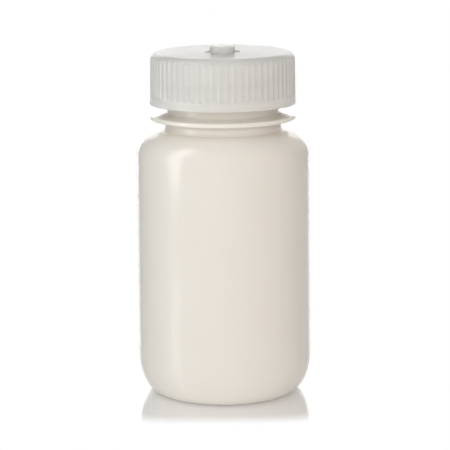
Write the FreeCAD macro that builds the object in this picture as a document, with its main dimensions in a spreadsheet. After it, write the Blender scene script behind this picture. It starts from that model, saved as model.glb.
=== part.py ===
"""Wide-mouth laboratory bottle with a ribbed screw cap and a sealing liner.

Millimetres, +Z up. The origin is at the centre of the base, on the surface that the bottle stands on.
The cap is screwed home. Every size is a cell of the sheet, and every sketch and feature reads its
sizes from there.
"""
import FreeCAD, Part
import math
import os
import re
import Sketcher
from FreeCAD import Placement, Rotation, Vector

SIZES = {
    # bottle body
    "body_radius": 25.05,
    "heel_radius": 25.35,
    "wall": 1.3,
    "foot_outer_radius": 19.3,
    "foot_inner_radius": 17.6,
    "heel_height": 10.6,
    "heel_round": 3.6,
    "push_up": 2.4,
    "base_dome_radius": 14.5,
    "base_round": 1.2,
    "shoulder_start": 69.9,
    "shoulder_rise": 7.5,
    "shoulder_round": 6.9,
    # neck, with the bead below the cap
    "neck_radius": 16.1,
    "collar_radius": 16.9,
    "mouth_radius": 14.5,
    "rim_height": 95.6,
    "rim_round": 0.5,
    "bead_radius": 21.15,
    "bead_height": 80.98,
    "bead_edge": 0.58,
    "bead_root": 1.25,
    "neck_fillet": 1.0,
    # 38 mm closure thread, six turns to the inch, right hand
    "thread_pitch": 4.233,
    "thread_embed": 0.3,
    "neck_thread_radius": 18.5,
    "neck_thread_root": 1.1,
    "neck_thread_crest": 0.55,
    "neck_thread_bottom": 86.45,
    "neck_thread_turns": 1.85,
    "neck_thread_angle": 90.0,
    "cap_thread_radius": 16.5,
    "cap_thread_root": 0.95,
    "cap_thread_crest": 0.4,
    "cap_thread_drop": 1.65,
    "cap_thread_lead": 0.36,
    "cap_thread_turns": 1.75,
    # cap
    "cap_bottom": 84.7,
    "cap_top": 99.45,
    "cap_top_radius": 20.75,
    "cap_foot_radius": 20.92,
    "corner_radius": 2.2,
    "lip_radius": 21.08,
    "lip_height": 0.6,
    "lip_slope": 0.35,
    "lip_round": 0.2,
    "band_height": 2.5,
    "bore_lead": 0.45,
    "cap_bore": 18.95,
    "panel_thickness": 2.15,
    "rib_count": 64.0,
    "groove_radius": 1.1,
    "groove_floor": 20.48,
    "moat_radius": 5.05,
    "moat_depth": 0.4,
    "boss_radius": 3.7,
    "boss_foot_radius": 3.3,
    "boss_rise": 1.8,
    "boss_round": 0.35,
    # sealing liner
    "liner_radius": 18.6,
}

# two lengths nearer than this are the same length
SAME = 1e-4


def make_sheet(doc):
    """The sheet of driving sizes, one named cell each."""
    sheet = doc.addObject("Spreadsheet::Sheet", "Sizes")
    for row, (name, value) in enumerate(SIZES.items(), start=1):
        sheet.set(f"A{row}", name)
        sheet.set(f"B{row}", str(value))
        sheet.setAlias(f"B{row}", name)
    doc.recompute()
    return sheet


def cells(formula):
    """The formula with every size name pointing at its cell."""
    return re.sub(r"[a-z][a-z_]*", lambda word: "Sizes." + word.group(), formula)


def value_of(sheet, formula):
    """The number that a formula of cells gives now."""
    return float(sheet.evalExpression(cells(formula)))


def plane_of(body, role):
    """One of the body's own origin planes."""
    return next(item for item in body.Origin.OriginFeatures if item.Role == role)


def new_sketch(body, name, role, angle=None):
    """An empty sketch on one of the body's origin planes, turned about its own upright axis if asked."""
    sketch = body.newObject("Sketcher::SketchObject", name)
    sketch.AttachmentSupport = [(plane_of(body, role), "")]
    sketch.MapMode = "FlatFace"
    if angle:
        upright = Vector(0, 1, 0)
        sketch.AttachmentOffset = Placement(Vector(), Rotation(upright, 0))
        sketch.setExpression("AttachmentOffset.Rotation.Angle", cells(angle))
    return sketch


def bind(sheet, sketch, kind, place, formula):
    """One dimension of a sketch, driven by a formula of cells. The place is an edge, or a point of one."""
    constraint = Sketcher.Constraint(kind, *place, value_of(sheet, formula))
    index = sketch.addConstraint(constraint)
    sketch.setExpression(f"Constraints[{index}]", cells(formula))


class Outline:
    """A closed section drawn from corner to corner, every corner bound to the sheet.

    Corners are pairs of formulas, distance from the axis and height. Between two corners the edge is
    straight, an arc of a stated radius, or an oval corner: two arcs, tangent to each other, that
    leave one corner along one axis and arrive at the next along the other.
    """

    def __init__(self, sheet, sketch, start):
        self.sheet = sheet
        self.sketch = sketch
        self.first = start
        self.here = start
        self.open_end = None
        self.first_end = None

    def at(self, corner):
        return Vector(value_of(self.sheet, corner[0]), value_of(self.sheet, corner[1]), 0)

    def bind(self, kind, place, formula):
        """One dimension of this outline's sketch."""
        bind(self.sheet, self.sketch, kind, place, formula)

    def fix(self, geometry, point, corner):
        """Hold a point at a corner's distance from the axis and height."""
        if corner[0] == "0":
            self.sketch.addConstraint(Sketcher.Constraint("PointOnObject", geometry, point, -2))
        else:
            self.bind("DistanceX", (geometry, point), corner[0])
        if corner[1] == "0":
            self.sketch.addConstraint(Sketcher.Constraint("PointOnObject", geometry, point, -1))
        else:
            self.bind("DistanceY", (geometry, point), corner[1])

    def join(self, geometry, point):
        """Tie a new edge's first end to the last edge, and hold that corner in place."""
        if self.open_end is None:
            self.first_end = (geometry, point)
        else:
            self.sketch.addConstraint(Sketcher.Constraint("Coincident", *self.open_end, geometry, point))
        self.fix(geometry, point, self.here)

    def line(self, corner):
        """A straight edge to the next corner."""
        segment = Part.LineSegment(self.at(self.here), self.at(corner))
        index = self.sketch.addGeometry(segment, False)
        self.join(index, 1)
        self.open_end = (index, 2)
        self.here = corner

    def add_arc(self, centre, start, end, turn):
        """Add an arc and return its index and its two end points in the order of travel."""
        radius = (start - centre).Length
        angles = [math.atan2(p.y - centre.y, p.x - centre.x) for p in (start, end)]
        if turn < 0:
            angles.reverse()
        circle = Part.Circle(centre, Vector(0, 0, 1), radius)
        index = self.sketch.addGeometry(Part.ArcOfCircle(circle, *angles), False)
        return (index, 1, 2) if turn > 0 else (index, 2, 1)

    def arc(self, corner, radius, turn):
        """An arc to the next corner, turning left (+1) or right (-1), at most half a circle."""
        start, end = self.at(self.here), self.at(corner)
        chord = end - start
        size = value_of(self.sheet, radius)
        rise = math.sqrt(max(size ** 2 - chord.Length ** 2 / 4, 0.0))
        side = Vector(-chord.y, chord.x, 0).normalize()
        centre = (start + end) * 0.5 + side * rise * turn
        index, tail, head = self.add_arc(centre, start, end, turn)
        self.join(index, tail)
        if rise > SAME:
            self.bind("Radius", (index,), radius)
        else:
            self.sketch.addConstraint(Sketcher.Constraint("Vertical", index, 3, index, tail))
        self.open_end = (index, head)
        self.here = corner

    def oval(self, corner, small, small_first, leaves, turn):
        """An oval corner: a small arc and a larger one, tangent to each other and to both axes."""
        start, end = self.at(self.here), self.at(corner)
        tight = value_of(self.sheet, small)
        near, far = (start, end) if small_first else (end, start)
        across = leaves == "Horizontal" if small_first else leaves == "Vertical"
        span = far - near
        along, up = (span.x, span.y) if across else (span.y, span.x)
        loose = (along ** 2 + up ** 2 - 2 * abs(up) * tight) / (2 * (abs(along) - tight))
        if across:
            near_centre = near + Vector(0, math.copysign(tight, up), 0)
            far_centre = far - Vector(math.copysign(loose, along), 0, 0)
        else:
            near_centre = near + Vector(math.copysign(tight, up), 0, 0)
            far_centre = far - Vector(0, math.copysign(loose, along), 0)
        middle = near_centre + (near_centre - far_centre).normalize() * tight
        centres = (near_centre, far_centre) if small_first else (far_centre, near_centre)
        first, tail, head = self.add_arc(centres[0], start, middle, turn)
        second, tail2, head2 = self.add_arc(centres[1], middle, end, turn)
        arrives = "Vertical" if leaves == "Horizontal" else "Horizontal"
        self.join(first, tail)
        self.bind("Radius", (first if small_first else second,), small)
        self.sketch.addConstraint([
            Sketcher.Constraint("Tangent", first, head, second, tail2),
            Sketcher.Constraint(arrives, first, 3, first, tail),
            Sketcher.Constraint(leaves, second, 3, second, head2),
        ])
        self.open_end = (second, head2)
        self.here = corner

    def close(self):
        """A straight edge back to the first corner."""
        segment = Part.LineSegment(self.at(self.here), self.at(self.first))
        index = self.sketch.addGeometry(segment, False)
        self.join(index, 1)
        self.sketch.addConstraint(Sketcher.Constraint("Coincident", index, 2, *self.first_end))


def revolve(body, name, sketch):
    """A full turn of a section about the upright axis."""
    turned = body.newObject("PartDesign::Revolution", name)
    turned.Profile = sketch
    turned.ReferenceAxis = (sketch, ["V_Axis"])
    turned.Angle = 360
    return turned


def circles_at(shape, radius, height):
    """Names of the circular edges about the upright axis with this radius at this height."""
    names = []
    for number, edge in enumerate(shape.Edges, start=1):
        curve = edge.Curve
        if not isinstance(curve, Part.Circle):
            continue
        same_size = abs(curve.Radius - radius) < SAME
        same_place = (curve.Center - Vector(0, 0, height)).Length < SAME
        if same_size and same_place:
            names.append(f"Edge{number}")
    return names


def fillet(sheet, body, name, size, rings):
    """Round the circular edges that are given as pairs of formulas, radius and height."""
    body.Document.recompute()
    base = body.Tip
    edges = []
    for radius, height in rings:
        edges += circles_at(base.Shape, value_of(sheet, radius), value_of(sheet, height))
    rounded = body.newObject("PartDesign::Fillet", name)
    rounded.Base = (base, edges)
    rounded.setExpression("Radius", cells(size))
    return rounded


def helical_ridge(sheet, body, name, sections, turns, angle):
    """A thread ridge: a four-cornered section swept up a right-hand helix and joined to the body."""
    sketch = new_sketch(body, name + "_section", "XZ_Plane", angle)
    outline = Outline(sheet, sketch, sections[0])
    for corner in sections[1:]:
        outline.line(corner)
    outline.close()
    ridge = body.newObject("PartDesign::AdditiveHelix", name)
    ridge.Profile = sketch
    ridge.ReferenceAxis = (sketch, ["V_Axis"])
    ridge.Mode = "pitch-turns-angle"
    ridge.setExpression("Pitch", cells("thread_pitch"))
    ridge.setExpression("Turns", cells(turns))
    ridge.LeftHanded = False
    return ridge


def bottle(doc, sheet):
    """Blow-moulded bottle: body, shoulder, bead, threaded neck and pushed-up base in one piece."""
    body = doc.addObject("PartDesign::Body", "bottle")
    section = new_sketch(body, "bottle_section", "XZ_Plane")
    path = Outline(sheet, section, ("foot_inner_radius", "0"))
    path.line(("foot_outer_radius", "0"))
    path.oval(("heel_radius", "heel_height"), "heel_round", True, "Horizontal", 1)
    path.line(("body_radius", "shoulder_start"))
    path.oval(("collar_radius", "shoulder_start + shoulder_rise"), "shoulder_round", True, "Vertical", 1)
    path.line(("collar_radius", "bead_height - bead_root"))
    path.line(("bead_radius - bead_edge", "bead_height - bead_edge"))
    path.arc(("bead_radius - bead_edge", "bead_height + bead_edge"), "bead_edge", 1)
    path.line(("neck_radius", "bead_height + bead_root"))
    path.line(("neck_radius", "rim_height"))
    path.line(("mouth_radius", "rim_height"))
    path.line(("mouth_radius", "shoulder_start + shoulder_rise - wall"))
    path.oval(("body_radius - wall", "shoulder_start"), "shoulder_round - wall", False, "Horizontal", -1)
    path.line(("heel_radius - wall", "heel_height"))
    path.oval(("foot_outer_radius", "wall"), "heel_round - wall", False, "Vertical", -1)
    path.line(("foot_inner_radius", "wall"))
    path.line(("base_dome_radius", "push_up + wall"))
    path.line(("0", "push_up + wall"))
    path.line(("0", "push_up"))
    path.line(("base_dome_radius", "push_up"))
    path.close()
    revolve(body, "bottle_shell", section)
    fillet(sheet, body, "neck_rounds", "neck_fillet", [
        ("collar_radius", "shoulder_start + shoulder_rise"),
        ("collar_radius", "bead_height - bead_root"),
        ("neck_radius", "bead_height + bead_root"),
        ("mouth_radius", "shoulder_start + shoulder_rise - wall"),
    ])
    fillet(sheet, body, "rim_rounds", "rim_round", [
        ("neck_radius", "rim_height"),
        ("mouth_radius", "rim_height"),
    ])
    fillet(sheet, body, "base_rounds", "base_round", [
        ("base_dome_radius", "push_up"),
        ("base_dome_radius", "push_up + wall"),
    ])
    root = "neck_radius - thread_embed"
    helical_ridge(sheet, body, "neck_thread", [
        (root, "neck_thread_bottom - neck_thread_root"),
        ("neck_thread_radius", "neck_thread_bottom - neck_thread_crest"),
        ("neck_thread_radius", "neck_thread_bottom + neck_thread_crest"),
        (root, "neck_thread_bottom + neck_thread_root"),
    ], "neck_thread_turns", "neck_thread_angle")
    return body


def screw_cap(doc, sheet):
    """Moulded cap: ribbed skirt with a plain band at its foot, flat top with a boss, inner thread."""
    body = doc.addObject("PartDesign::Body", "screw_cap")
    section = new_sketch(body, "cap_section", "XZ_Plane")
    path = Outline(sheet, section, ("cap_bore + bore_lead", "cap_bottom"))
    path.line(("lip_radius", "cap_bottom"))
    path.line(("lip_radius", "cap_bottom + lip_height"))
    path.line(("cap_foot_radius", "cap_bottom + lip_height + lip_slope"))
    path.line(("cap_top_radius", "cap_top - corner_radius"))
    path.arc(("cap_top_radius - corner_radius", "cap_top"), "corner_radius", 1)
    path.line(("moat_radius", "cap_top"))
    path.line(("moat_radius", "cap_top - moat_depth"))
    path.line(("boss_foot_radius", "cap_top - moat_depth"))
    path.line(("boss_radius", "cap_top + boss_rise"))
    path.line(("0", "cap_top + boss_rise"))
    path.line(("0", "cap_top - panel_thickness"))
    path.line(("cap_bore", "cap_top - panel_thickness"))
    path.line(("cap_bore", "cap_bottom + bore_lead"))
    path.close()
    revolve(body, "cap_shell", section)
    fillet(sheet, body, "boss_rounds", "boss_round", [
        ("boss_radius", "cap_top + boss_rise"),
        ("moat_radius", "cap_top"),
    ])
    fillet(sheet, body, "lip_rounds", "lip_round", [
        ("lip_radius", "cap_bottom"),
        ("lip_radius", "cap_bottom + lip_height"),
    ])
    grip_grooves(sheet, body)
    root = "cap_bore + thread_embed"
    start = "neck_thread_bottom - cap_thread_drop + cap_thread_lead * thread_pitch"
    helical_ridge(sheet, body, "cap_thread", [
        (root, start + " - cap_thread_root"),
        (root, start + " + cap_thread_root"),
        ("cap_thread_radius", start + " + cap_thread_crest"),
        ("cap_thread_radius", start + " - cap_thread_crest"),
    ], "cap_thread_turns", "neck_thread_angle + 360 * cap_thread_lead")
    return body


def grip_grooves(sheet, body):
    """Round-bottomed grooves down the skirt; the ribs are what stands between them."""
    sketch = new_sketch(body, "groove_section", "XY_Plane")
    reach = "groove_floor + groove_radius"
    centre = Vector(value_of(sheet, reach), 0, 0)
    index = sketch.addGeometry(Part.Circle(centre, Vector(0, 0, 1), value_of(sheet, "groove_radius")), False)
    sketch.addConstraint(Sketcher.Constraint("PointOnObject", index, 3, -1))
    bind(sheet, sketch, "DistanceX", (index, 3), reach)
    bind(sheet, sketch, "Radius", (index,), "groove_radius")
    sketch.setExpression("AttachmentOffset.Base.z", cells("cap_bottom + band_height"))
    groove = body.newObject("PartDesign::Pocket", "groove")
    groove.Profile = sketch
    groove.Reversed = True
    groove.setExpression("Length", cells("cap_top - cap_bottom"))
    pattern = body.newObject("PartDesign::PolarPattern", "grooves")
    pattern.Originals = [groove]
    pattern.Axis = (sketch, ["N_Axis"])
    pattern.Angle = 360
    pattern.setExpression("Occurrences", cells("rib_count"))
    body.Tip = pattern
    return pattern


def cap_liner(doc, sheet):
    """Foamed sealing disc between the cap's top panel and the rim of the mouth."""
    disc = doc.addObject("Part::Cylinder", "cap_liner")
    disc.setExpression("Radius", cells("liner_radius"))
    disc.setExpression("Height", cells("cap_top - panel_thickness - rim_height"))
    disc.setExpression("Placement.Base.z", cells("rim_height"))
    return disc


def check(doc, pieces):
    """Stop if any object failed or any piece isn't a sound solid."""
    doc.recompute()
    for item in doc.Objects:
        if {"Invalid", "Error"} & set(item.State):
            raise RuntimeError(f"{item.Label} failed: {item.State}")
        if item.TypeId == "Sketcher::SketchObject" and item.solve() != 0:
            raise RuntimeError(f"{item.Label} has constraints that can't be met")
    for piece in pieces:
        if piece.Shape.isNull() or not piece.Shape.isValid() or len(piece.Shape.Solids) != 1:
            raise RuntimeError(f"{piece.Label} isn't one sound solid")


def main():
    doc = FreeCAD.newDocument("wide_mouth_bottle")
    sheet = make_sheet(doc)
    pieces = [make(doc, sheet) for make in (bottle, screw_cap, cap_liner)]
    check(doc, pieces)
    os.makedirs("parts", exist_ok=True)
    for piece in pieces:
        box = piece.Shape.BoundBox
        print(f"{piece.Label}: {piece.Shape.Volume / 1000:.2f} cm3, z {box.ZMin:.2f} to {box.ZMax:.2f}")
        piece.Shape.exportStep(f"parts/{piece.Label}.step")


main()
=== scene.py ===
"""Looks of the wide-mouth bottle: natural polyethylene body, ribbed polypropylene cap and foam liner.

Metres, in the frame of the CAD model: +Z up, origin at the centre of the base. Sections are written in
millimetres, as distance from the axis and height, and turned about the axis into closed skins.
"""
import bpy
import math
import numpy as np
from mathutils import Matrix, Vector


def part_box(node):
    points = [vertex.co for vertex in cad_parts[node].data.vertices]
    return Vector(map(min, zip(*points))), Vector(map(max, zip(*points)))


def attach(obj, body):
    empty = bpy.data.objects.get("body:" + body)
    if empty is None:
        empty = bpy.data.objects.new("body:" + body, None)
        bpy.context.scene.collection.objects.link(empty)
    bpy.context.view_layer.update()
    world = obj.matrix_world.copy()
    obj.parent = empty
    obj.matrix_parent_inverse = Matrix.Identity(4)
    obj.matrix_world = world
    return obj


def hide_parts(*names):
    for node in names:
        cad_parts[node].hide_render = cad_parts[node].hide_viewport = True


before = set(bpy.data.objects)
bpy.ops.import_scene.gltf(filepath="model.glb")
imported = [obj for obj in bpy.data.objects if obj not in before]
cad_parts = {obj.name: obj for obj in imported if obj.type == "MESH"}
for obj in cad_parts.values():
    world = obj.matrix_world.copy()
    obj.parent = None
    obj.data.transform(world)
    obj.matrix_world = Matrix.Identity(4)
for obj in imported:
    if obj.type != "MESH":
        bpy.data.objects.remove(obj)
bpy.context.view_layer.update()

MM = 0.001

# Sizes in millimetres, and angles in degrees. The outer limits are the CAD's own.
CAP_LOW, CAP_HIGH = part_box("screw_cap")
LINER_LOW, LINER_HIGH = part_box("cap_liner")
BOTTLE_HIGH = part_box("bottle")[1]

# bottle, with room for the parting line inside the CAD's outline
WALL = 1.3
SKIN_ALLOWANCE = 0.07
HEEL_RADIUS = BOTTLE_HIGH.x / MM - SKIN_ALLOWANCE
BODY_TAPER = 0.3
BODY_RADIUS = HEEL_RADIUS - BODY_TAPER
FOOT_OUTER = 19.3
FOOT_INNER = 17.6
HEEL_HEIGHT = 10.6
PUSH_UP = 2.4
DOME_RADIUS = 14.5
SHOULDER_START = 69.9
SHOULDER_TOP = 77.4
COLLAR_RADIUS = 16.9
NECK_RADIUS = 16.1
MOUTH_RADIUS = 14.5
RIM_HEIGHT = BOTTLE_HIGH.z / MM
BEAD_RADIUS = 21.15
BEAD_HEIGHT = 80.98
BEAD_EDGE = 0.58
BEAD_ROOT = 1.25
NECK_ROUND = 0.9

# parting line and waviness of the blow-moulded wall
SEAM_HEIGHT = 0.05
SEAM_WIDTH = 0.28
WAVE_DEPTH = 0.012

# threads, right hand, with the run-out and the cap thread's lead in turns
PITCH = 4.233
THREAD_RUNOUT = 0.1
CAP_THREAD_DROP = 1.65
CAP_THREAD_LEAD = 0.36
NECK_THREAD = dict(base=NECK_RADIUS, crest=18.45, root_half=1.05, crest_half=0.5,
                   bottom=86.45, turns=1.85, start=90.0)
CAP_THREAD = dict(base=18.95, crest=16.55, root_half=0.9, crest_half=0.35,
                  bottom=NECK_THREAD["bottom"] - CAP_THREAD_DROP + CAP_THREAD_LEAD * PITCH,
                  turns=1.75, start=NECK_THREAD["start"] + 360.0 * CAP_THREAD_LEAD)

# cap
CAP_TOP = 99.45
CAP_BOTTOM = CAP_LOW.z / MM
CAP_TOP_RADIUS = 20.75
CAP_FOOT_RADIUS = 20.92
CORNER_RADIUS = 2.2
LIP_RADIUS = CAP_HIGH.x / MM
LIP_HEIGHT = 0.6
LIP_TOP = 1.0
BORE_LEAD = 0.45
BAND_TOP = CAP_BOTTOM + 2.5
PANEL_LOW = CAP_TOP - 2.15
RIBS = 64
GROOVE_RADIUS = 1.1
GROOVE_FLOOR = 20.48
GROOVE_BLEND = 0.16
GROOVE_RUNOUT = 0.35
NO_GROOVE = 99.0
MOAT_RADIUS = 5.05
MOAT_DEPTH = 0.4
BOSS_RADIUS = 3.7
BOSS_FOOT = 3.3
BOSS_TOP = CAP_HIGH.z / MM

# longest steps along a section, and the gap within which a point counts as lying on a wall
THREAD_STEP = 0.22
BODY_STEP = 2.2
SKIRT_STEP = 0.5
PANEL_STEP = 1.2
LINER_STEP = 1.5
ON_WALL = 0.02


# ---------------------------------------------------------------- sections

def quarter(start, end, leaves, steps=14):
    """A quarter of an ellipse from start to end that leaves start "across" or "up"."""
    points = []
    for k in range(1, steps):
        turn = 0.5 * math.pi * k / steps
        far, near = math.sin(turn), math.cos(turn)
        if leaves == "across":
            points.append((start[0] + (end[0] - start[0]) * far, end[1] + (start[1] - end[1]) * near, 0.0))
        else:
            points.append((end[0] + (start[0] - end[0]) * near, start[1] + (end[1] - start[1]) * far, 0.0))
    return points


def soften(corners, steps=6):
    """The section with every corner (radius, height, round) turned into an arc of that round."""
    path = []
    for k, (r, z, size) in enumerate(corners):
        if size <= 0.0 or k in (0, len(corners) - 1):
            path.append(Vector((r, z)))
            continue
        here = Vector((r, z))
        before = (Vector(corners[k - 1][:2]) - here).normalized()
        after = (Vector(corners[k + 1][:2]) - here).normalized()
        half = 0.5 * before.angle(after)
        reach = size / math.tan(half)
        centre = here + (before + after).normalized() * size / math.sin(half)
        first = here + before * reach - centre
        sweep = (here + after * reach - centre).angle_signed(first)
        for step in range(steps + 1):
            path.append(centre + Matrix.Rotation(sweep * step / steps, 2) @ first)
    return path


def divide(path, step_at):
    """The section with long edges cut so that no step is longer than step_at(radius, height)."""
    cut = [path[0]]
    for start, end in zip(path, path[1:]):
        middle = (start + end) * 0.5
        pieces = max(1, math.ceil((end - start).length / step_at(middle.x, middle.y)))
        cut += [start.lerp(end, k / pieces) for k in range(1, pieces + 1)]
    return cut


def smooth(value):
    """0 below 0, 1 above 1, and an even S between."""
    held = np.clip(value, 0.0, 1.0)
    return held * held * (3.0 - 2.0 * held)


def thread_height(thread, angle, height):
    """How much of a thread's full height stands at each angle (degrees) and height (mm), 0 to 1."""
    best = np.zeros(np.broadcast(angle, height).shape)
    for turn in range(math.ceil(thread["turns"]) + 1):
        along = np.mod(angle - thread["start"], 360.0) / 360.0 + turn
        off_centre = np.abs(height - thread["bottom"] - PITCH * along)
        flank = (thread["root_half"] - off_centre) / (thread["root_half"] - thread["crest_half"])
        runout = smooth(np.minimum(along, thread["turns"] - along) / THREAD_RUNOUT)
        best = np.maximum(best, smooth(flank) * runout)
    return best


# ---------------------------------------------------------------- turned skins

def ring_faces(across, rings):
    """Faces between rings of points, and fans to the first and the last point on the axis."""
    first = rings * across
    last = first + 1
    top_ring = (rings - 1) * across
    faces = []
    for k in range(across):
        after = (k + 1) % across
        faces.append((first, after, k))
        faces.append((last, top_ring + k, top_ring + after))
        for ring in range(rings - 1):
            low, high = ring * across, (ring + 1) * across
            faces.append((low + k, low + after, high + after, high + k))
    return faces


def turned(name, path, angles, shape):
    """A closed skin: the section turned about the axis, with shape(angle, radius, height) giving the
    true radius at every point. The section starts and ends on the axis."""
    path = np.array([(p.x, p.y) for p in path])
    rings = path[1:-1]
    radius = shape(angles[None, :], rings[:, :1], rings[:, 1:]) * MM * np.ones((len(rings), len(angles)))
    height = rings[:, 1:] * MM * np.ones_like(radius)
    turn = np.radians(angles)[None, :]
    points = np.stack([radius * np.cos(turn), radius * np.sin(turn), height], axis=-1).reshape(-1, 3)
    ends = [[0.0, 0.0, path[0, 1] * MM], [0.0, 0.0, path[-1, 1] * MM]]
    mesh = bpy.data.meshes.new(name)
    mesh.from_pydata(np.concatenate([points, ends]).tolist(), [], ring_faces(len(angles), len(rings)))
    mesh.validate()
    mesh.update()
    mesh.shade_smooth()
    piece = bpy.data.objects.new(name, mesh)
    bpy.context.scene.collection.objects.link(piece)
    return piece


# ---------------------------------------------------------------- the bottle

def bottle_section():
    """Underside of the base, heel, body, shoulder, bead, neck, rim, and back down the inside."""
    outside = [
        (0.0, PUSH_UP, 0.0),
        (DOME_RADIUS, PUSH_UP, 1.4),
        (FOOT_INNER, 0.0, 0.8),
        (FOOT_OUTER, 0.0, 0.0),
        *quarter((FOOT_OUTER, 0.0), (HEEL_RADIUS, HEEL_HEIGHT), "across"),
        (HEEL_RADIUS, HEEL_HEIGHT, 0.0),
        (BODY_RADIUS, SHOULDER_START, 0.0),
        *quarter((BODY_RADIUS, SHOULDER_START), (COLLAR_RADIUS, SHOULDER_TOP), "up"),
        (COLLAR_RADIUS, SHOULDER_TOP, NECK_ROUND),
        (COLLAR_RADIUS, BEAD_HEIGHT - BEAD_ROOT, NECK_ROUND),
        (BEAD_RADIUS, BEAD_HEIGHT - BEAD_EDGE, 0.5),
        (BEAD_RADIUS, BEAD_HEIGHT + BEAD_EDGE, 0.5),
        (NECK_RADIUS, BEAD_HEIGHT + BEAD_ROOT, NECK_ROUND),
        (NECK_RADIUS, RIM_HEIGHT, 0.5),
    ]
    inside = [
        (MOUTH_RADIUS, RIM_HEIGHT, 0.4),
        (MOUTH_RADIUS, SHOULDER_TOP - WALL, 1.2),
        (COLLAR_RADIUS, SHOULDER_TOP - WALL, 0.0),
        *quarter((COLLAR_RADIUS, SHOULDER_TOP - WALL), (BODY_RADIUS - WALL, SHOULDER_START), "across"),
        (BODY_RADIUS - WALL, SHOULDER_START, 0.0),
        (HEEL_RADIUS - WALL, HEEL_HEIGHT, 0.0),
        *quarter((HEEL_RADIUS - WALL, HEEL_HEIGHT), (FOOT_OUTER, WALL), "up"),
        (FOOT_OUTER, WALL, 0.0),
        (FOOT_INNER, WALL, 0.6),
        (DOME_RADIUS, PUSH_UP + WALL, 1.4),
        (0.0, PUSH_UP + WALL, 0.0),
    ]

    def step(r, z):
        on_threaded_neck = r > NECK_RADIUS - 0.1 and z > BEAD_HEIGHT + 3.0
        return THREAD_STEP if on_threaded_neck else BODY_STEP

    return divide(soften(outside + inside), step)


def bottle_shape(angle, radius, height):
    """Thread on the neck, the mould's parting line down two sides, and the wall's slight waviness."""
    outer_neck = (np.abs(radius - NECK_RADIUS) < ON_WALL) & (height > BEAD_HEIGHT + 2.0)
    ridge = thread_height(NECK_THREAD, angle, height)
    true_radius = radius + outer_neck * (NECK_THREAD["crest"] - NECK_RADIUS) * ridge
    from_seam = np.minimum(np.abs(np.mod(angle + 90.0, 180.0) - 90.0), 90.0)
    seam = np.exp(-(from_seam / SEAM_WIDTH) ** 2) * (radius > COLLAR_RADIUS) * (height < SHOULDER_TOP)
    outer = radius > BODY_RADIUS - 0.4 * WALL
    three_waves = np.sin(np.radians(3.0 * angle) + 0.045 * height)
    five_waves = np.sin(np.radians(5.0 * angle) - 0.11 * height + 1.0)
    return true_radius + outer * (SEAM_HEIGHT * seam - WAVE_DEPTH * (three_waves + five_waves + 2.0))


def make_bottle():
    """The bottle's skin, with closer points on both sides of each parting line."""
    even = np.arange(0.0, 360.0, 1.25)
    seam = np.array([-0.6, -0.4, -0.2, 0.2, 0.4, 0.6])
    angles = np.unique(np.mod(np.concatenate([even, seam, 180.0 + seam]), 360.0))
    return turned("bottle_skin", bottle_section(), angles, bottle_shape)


# ---------------------------------------------------------------- the cap

def cap_section():
    """Underside of the panel, bore, lip, skirt, corner, top, moat and boss."""
    bore = CAP_THREAD["base"]
    corners = [
        (0.0, PANEL_LOW, 0.0),
        (bore, PANEL_LOW, 0.5),
        (bore, CAP_BOTTOM + BORE_LEAD, 0.2),
        (bore + BORE_LEAD, CAP_BOTTOM, 0.2),
        (LIP_RADIUS, CAP_BOTTOM, 0.25),
        (LIP_RADIUS, CAP_BOTTOM + LIP_HEIGHT, 0.2),
        (CAP_FOOT_RADIUS, CAP_BOTTOM + LIP_TOP, 0.2),
        (CAP_TOP_RADIUS, CAP_TOP - CORNER_RADIUS, 0.0),
        *quarter((CAP_TOP_RADIUS, CAP_TOP - CORNER_RADIUS), (CAP_TOP_RADIUS - CORNER_RADIUS, CAP_TOP), "up"),
        (CAP_TOP_RADIUS - CORNER_RADIUS, CAP_TOP, 0.0),
        (MOAT_RADIUS, CAP_TOP, 0.25),
        (MOAT_RADIUS, CAP_TOP - MOAT_DEPTH, 0.1),
        (BOSS_FOOT, CAP_TOP - MOAT_DEPTH, 0.15),
        (BOSS_RADIUS, BOSS_TOP, 0.35),
        (0.0, BOSS_TOP, 0.0),
    ]

    def step(r, z):
        if r < bore + 0.2 and CAP_BOTTOM < z < PANEL_LOW:
            return THREAD_STEP
        return SKIRT_STEP if r > bore else PANEL_STEP

    return divide(soften(corners), step)


def groove_radius(angle):
    """Distance from the axis to the surface of the nearest grip groove, large where there is none."""
    period = 360.0 / RIBS
    off_centre = np.radians(np.mod(angle + 0.5 * period, period) - 0.5 * period)
    centre = GROOVE_FLOOR + GROOVE_RADIUS
    under = GROOVE_RADIUS ** 2 - (centre * np.sin(off_centre)) ** 2
    return np.where(under > 0.0, centre * np.cos(off_centre) - np.sqrt(np.maximum(under, 0.0)), NO_GROOVE)


def cap_shape(angle, radius, height):
    """Soft-edged grip grooves in the skirt, and the thread inside."""
    gap = np.clip((radius - groove_radius(angle)) / GROOVE_BLEND, -30.0, 30.0)
    eased = radius - GROOVE_BLEND * np.logaddexp(0.0, gap)
    cut = radius + (eased - radius) * smooth((height - BAND_TOP) / GROOVE_RUNOUT)
    skirt = (radius > CAP_THREAD["base"] + 0.6) & (height > BAND_TOP - 0.5)
    true_radius = np.where(skirt & (radius > GROOVE_FLOOR - 0.2), cut, radius)
    in_bore = np.abs(radius - CAP_THREAD["base"]) < ON_WALL
    ridge = thread_height(CAP_THREAD, angle, height)
    return true_radius - in_bore * (CAP_THREAD["base"] - CAP_THREAD["crest"]) * ridge


def make_cap():
    """The cap's skin, with points close together across each rib between two grooves."""
    period = 360.0 / RIBS
    across = period * np.array([0.0, 0.12, 0.24, 0.33, 0.39, 0.45, 0.5, 0.55, 0.61, 0.67, 0.76, 0.88])
    angles = (np.arange(RIBS)[:, None] * period + across[None, :]).ravel()
    return turned("cap_skin", cap_section(), angles, cap_shape)


# ---------------------------------------------------------------- the liner

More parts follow.
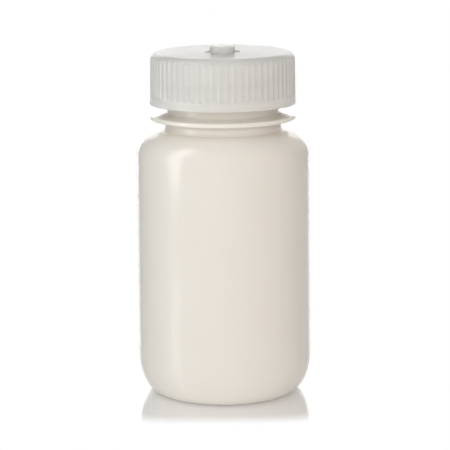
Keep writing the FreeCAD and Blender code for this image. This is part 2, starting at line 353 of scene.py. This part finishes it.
def make_liner():
    """A plain disc with eased edges."""
    low, high = LINER_LOW.z / MM, LINER_HIGH.z / MM
    radius = LINER_HIGH.x / MM
    corners = [
        (0.0, low, 0.0),
        (radius, low, 0.3),
        (radius, high, 0.3),
        (0.0, high, 0.0),
    ]
    path = divide(soften(corners), lambda r, z: LINER_STEP)
    return turned("liner_disc", path, np.arange(0.0, 360.0, 3.0), lambda angle, r, z: r)


# ---------------------------------------------------------------- materials

def new_material(name):
    """A material with its nodes, its links and its shader."""
    material = bpy.data.materials.new(name)
    material.use_nodes = True
    nodes = material.node_tree.nodes
    return material, nodes, material.node_tree.links, nodes["Principled BSDF"]


def noise(nodes, links, scale, detail, stretch=(1.0, 1.0, 1.0)):
    """Noise fixed to the object, as a socket that runs from 0 to 1. The scale is in waves a metre."""
    place = nodes.new("ShaderNodeTexCoord")
    mapping = nodes.new("ShaderNodeMapping")
    mapping.inputs["Scale"].default_value = stretch
    texture = nodes.new("ShaderNodeTexNoise")
    texture.inputs["Scale"].default_value = scale
    texture.inputs["Detail"].default_value = detail
    links.new(place.outputs["Object"], mapping.inputs["Vector"])
    links.new(mapping.outputs["Vector"], texture.inputs["Vector"])
    return texture.outputs["Fac"]


def spread(nodes, links, source, low, high):
    """The part of the noise that matters, 0.3 to 0.7, mapped to low to high."""
    ranged = nodes.new("ShaderNodeMapRange")
    ranged.inputs["From Min"].default_value = 0.3
    ranged.inputs["From Max"].default_value = 0.7
    ranged.inputs["To Min"].default_value = low
    ranged.inputs["To Max"].default_value = high
    links.new(source, ranged.inputs["Value"])
    return ranged.outputs["Result"]


def tint(nodes, links, source, dark, light):
    """A colour between dark and light."""
    mix = nodes.new("ShaderNodeMix")
    mix.data_type = "RGBA"
    mix.inputs["A"].default_value = (*dark, 1.0)
    mix.inputs["B"].default_value = (*light, 1.0)
    links.new(source, mix.inputs["Factor"])
    return mix.outputs["Result"]


def bump(nodes, links, shader, layers):
    """Bump from several (source, distance in metres) layers, one on top of the other."""
    normal = None
    for source, distance in layers:
        layer = nodes.new("ShaderNodeBump")
        layer.inputs["Strength"].default_value = 1.0
        layer.inputs["Distance"].default_value = distance
        links.new(source, layer.inputs["Height"])
        if normal:
            links.new(normal, layer.inputs["Normal"])
        normal = layer.outputs["Normal"]
    links.new(normal, shader.inputs["Normal"])


def let_light_through(nodes, links, shader, share, colour):
    """Let a share of the diffuse light pass through the wall."""
    passing = nodes.new("ShaderNodeBsdfTranslucent")
    passing.inputs["Color"].default_value = (*colour, 1.0)
    mix = nodes.new("ShaderNodeMixShader")
    mix.inputs["Fac"].default_value = share
    links.new(shader.outputs["BSDF"], mix.inputs[1])
    links.new(passing.outputs["BSDF"], mix.inputs[2])
    links.new(mix.outputs["Shader"], nodes["Material Output"].inputs["Surface"])


def milky_plastic(name, dark, light, roughness, scatter, gloss):
    """Natural polyolefin: milky all through, with a satin skin under a gloss of a stated strength. Light
    scatters over the stated distance in metres."""
    material, nodes, links, shader = new_material(name)
    cloud = noise(nodes, links, 60.0, 3.0)
    fine = noise(nodes, links, 900.0, 2.0)
    orange_peel = noise(nodes, links, 260.0, 2.0, (1.0, 1.0, 0.45))
    links.new(tint(nodes, links, cloud, dark, light), shader.inputs["Base Color"])
    links.new(spread(nodes, links, fine, roughness - 0.03, roughness + 0.03), shader.inputs["Roughness"])
    bump(nodes, links, shader, [(orange_peel, 0.000006), (fine, 0.000006)])
    shader.inputs["IOR"].default_value = 1.5
    shader.inputs["Subsurface Weight"].default_value = 1.0
    shader.inputs["Subsurface Radius"].default_value = (1.0, 1.0, 1.0)
    shader.inputs["Subsurface Scale"].default_value = scatter
    shader.inputs["Coat Weight"].default_value = gloss
    shader.inputs["Coat Roughness"].default_value = 0.1
    return material, nodes, links, shader


def bottle_plastic():
    """Natural polyethylene, milky enough to hide what is behind it."""
    dark, light = (0.885, 0.845, 0.778), (0.905, 0.865, 0.798)
    return milky_plastic("natural_polyethylene", dark, light, roughness=0.34, scatter=0.001, gloss=0.9)[0]


def cap_plastic():
    """Natural polypropylene, through which the neck shows faintly."""
    dark, light = (0.955, 0.93, 0.875), (0.975, 0.95, 0.895)
    material, nodes, links, shader = milky_plastic(
        "natural_polypropylene", dark, light, roughness=0.36, scatter=0.0015, gloss=0.4)
    shader.inputs["Alpha"].default_value = 0.78
    let_light_through(nodes, links, shader, 0.12, light)
    return material


def foam():
    """Closed-cell polyethylene foam, matt and finely pitted."""
    material, nodes, links, shader = new_material("liner_foam")
    cells = noise(nodes, links, 2500.0, 1.0)
    links.new(tint(nodes, links, cells, (0.92, 0.91, 0.89), (0.96, 0.95, 0.93)), shader.inputs["Base Color"])
    links.new(spread(nodes, links, cells, 0.7, 0.85), shader.inputs["Roughness"])
    bump(nodes, links, shader, [(cells, 0.00003)])
    return material


# ---------------------------------------------------------------- the pieces

bottle = make_bottle()
bottle.data.materials.append(bottle_plastic())
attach(bottle, "bottle")
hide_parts("bottle")

cap = make_cap()
cap.data.materials.append(cap_plastic())
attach(cap, "cap")
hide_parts("screw_cap")

liner = make_liner()
liner.data.materials.append(foam())
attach(liner, "liner")
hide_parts("cap_liner")


# ---------------------------------------------------------------- stage, light and camera

TABLE_REACH = 4.0
SURROUND_LIFT = 0.00005
HOLE_HALF = 0.029
HOLE_FADED = 0.0395


def sheet(name, corners, glow, roughness):
    """A flat pale surface of the stage, which also glows."""
    mesh = bpy.data.meshes.new(name)
    mesh.from_pydata(corners, [], [(0, 1, 2, 3)])
    surface = bpy.data.objects.new(name, mesh)
    bpy.context.scene.collection.objects.link(surface)
    material, nodes, links, shader = new_material(name)
    shader.inputs["Base Color"].default_value = (0.9, 0.9, 0.9, 1.0)
    shader.inputs["Roughness"].default_value = roughness
    shader.inputs["Emission Color"].default_value = (1.0, 1.0, 1.0, 1.0)
    shader.inputs["Emission Strength"].default_value = glow
    mesh.materials.append(material)
    return surface, nodes, links, shader


def level(name, height, glow, roughness):
    """A wide sheet that lies level under the bottle."""
    far = TABLE_REACH
    corners = [(-far, -far, height), (far, -far, height), (far, far, height), (-far, far, height)]
    return sheet(name, corners, glow, roughness)


def upright(name, back, half, low, high, glow):
    """A matt sheet that stands behind the bottle."""
    corners = [(-half, back, low), (half, back, low), (half, back, high), (-half, back, high)]
    sheet(name, corners, glow, 0.8)


def make_table_top():
    """A large pale table top, glossy enough to mirror the foot of the bottle."""
    shader = level("table_top", 0, glow=0.085, roughness=0.12)[3]
    shader.inputs["Metallic"].default_value = 0.32


def distance_from_middle(nodes, links):
    """How far a point lies from the middle, counted so that equal distances make a rounded square: the
    fourth root of x to the fourth plus y to the fourth."""
    place = nodes.new("ShaderNodeTexCoord")
    squares = nodes.new("ShaderNodeVectorMath")
    squares.operation = "MULTIPLY"
    fourth_powers = nodes.new("ShaderNodeVectorMath")
    fourth_powers.operation = "DOT_PRODUCT"
    for side in (0, 1):
        links.new(place.outputs["Object"], squares.inputs[side])
        links.new(squares.outputs["Vector"], fourth_powers.inputs[side])
    root = nodes.new("ShaderNodeMath")
    root.operation = "POWER"
    root.inputs[1].default_value = 0.25
    links.new(fourth_powers.outputs["Value"], root.inputs[0])
    return root.outputs["Value"]


def make_white_surround():
    """A sheet of plain white just above the table top, with a soft-edged rounded square hole around the
    bottle. It is the background of the picture, and it neither lights the bottle nor shades it."""
    surround, nodes, links, shader = level("white_surround", SURROUND_LIFT, glow=1.0, roughness=1.0)
    shader.inputs["Base Color"].default_value = (0.0, 0.0, 0.0, 1.0)
    shader.inputs["Specular IOR Level"].default_value = 0.0
    fade = nodes.new("ShaderNodeMapRange")
    fade.interpolation_type = "SMOOTHSTEP"
    fade.inputs["From Min"].default_value = HOLE_HALF
    fade.inputs["From Max"].default_value = HOLE_FADED
    links.new(distance_from_middle(nodes, links), fade.inputs["Value"])
    links.new(fade.outputs["Result"], shader.inputs["Alpha"])
    surround.visible_diffuse = False
    surround.visible_glossy = False
    surround.visible_transmission = False
    surround.visible_shadow = False


def make_stage():
    """The table top with its white surround, a pale wall behind, and a brighter band on the wall that
    the table top mirrors around the foot of the bottle."""
    make_table_top()
    make_white_surround()
    upright("back_wall", back=1.2, half=0.6, low=0.0, high=0.7, glow=1.15)
    upright("bright_band", back=1.19, half=0.16, low=0.28, high=0.46, glow=1.45)


def softbox(name, direction, distance, height, size, radiance,
            lights=True, mirrored=True, colour=(1.0, 1.0, 1.0)):
    """A soft light of a stated radiance that faces the bottle. It lights matt surfaces, is mirrored in
    glossy ones, or both. The direction is in degrees, 0 in front of the bottle and positive to its left,
    as the camera sees it."""
    light = bpy.data.lights.new(name, "AREA")
    light.shape = "RECTANGLE"
    light.size, light.size_y = size
    light.energy = radiance * math.pi * size[0] * size[1]
    light.color = colour
    lamp = bpy.data.objects.new(name, light)
    turn = math.radians(direction)
    lamp.location = (-distance * math.sin(turn), -distance * math.cos(turn), height)
    aim = Vector((0.0, 0.0, 0.05)) - lamp.location
    lamp.rotation_euler = aim.to_track_quat("-Z", "Y").to_euler()
    lamp.visible_camera = False
    lamp.visible_diffuse = lights
    lamp.visible_glossy = mirrored
    bpy.context.scene.collection.objects.link(lamp)


def make_world():
    """An even, dim and slightly warm surrounding."""
    world = bpy.data.worlds.new("studio")
    bpy.context.scene.world = world
    world.use_nodes = True
    sky = world.node_tree.nodes["Background"]
    sky.inputs["Color"].default_value = (1.0, 0.99, 0.97, 1.0)
    sky.inputs["Strength"].default_value = 0.3


def make_lights():
    """Two at the left, a broad one in front, three above, and two weak ones at the right."""
    softbox("key_left", direction=66.0, distance=0.2, height=0.155, size=(0.1, 0.31), radiance=0.9)
    softbox("strip_left", direction=64.0, distance=0.2, height=0.155, size=(0.06, 0.31), radiance=1.7,
            lights=False)
    softbox("front", direction=0.0, distance=1.2, height=0.35, size=(1.0, 0.5), radiance=4.6, mirrored=False)
    softbox("top_front", direction=0.0, distance=0.35, height=0.8, size=(0.6, 0.4), radiance=0.9,
            mirrored=False)
    softbox("top", direction=180.0, distance=0.35, height=0.8, size=(0.5, 0.3), radiance=0.8)
    softbox("top_strip", direction=180.0, distance=0.35, height=0.8, size=(0.25, 0.15), radiance=4.0,
            lights=False)
    softbox("warm_right", direction=-60.0, distance=1.0, height=0.5, size=(0.8, 0.8), radiance=0.25,
            colour=(1.0, 0.4, 0.05))
    softbox("back_right", direction=-140.0, distance=1.0, height=0.4, size=(0.6, 0.6), radiance=0.35)


def make_camera():
    """Seen from a little above, through a long lens, with a roll of half a degree."""
    distance, height = 0.5738, 0.1652
    pitch, yaw, roll = (math.radians(a) for a in (-11.473, -0.033, -0.46))
    data = bpy.data.cameras.new("camera")
    data.sensor_width = 36.0
    data.lens = 160.65
    data.clip_start = 0.01
    data.clip_end = 50.0
    camera = bpy.data.objects.new("camera", data)
    look = Matrix.Rotation(yaw, 4, "Z") @ Matrix.Rotation(0.5 * math.pi + pitch, 4, "X")
    camera.matrix_world = (Matrix.Translation((0.0, -distance, height)) @ look
                           @ Matrix.Rotation(roll, 4, "Z"))
    bpy.context.scene.collection.objects.link(camera)
    bpy.context.scene.camera = camera


make_stage()
make_world()
make_lights()
make_camera()
bpy.context.scene.view_settings.view_transform = "Standard"
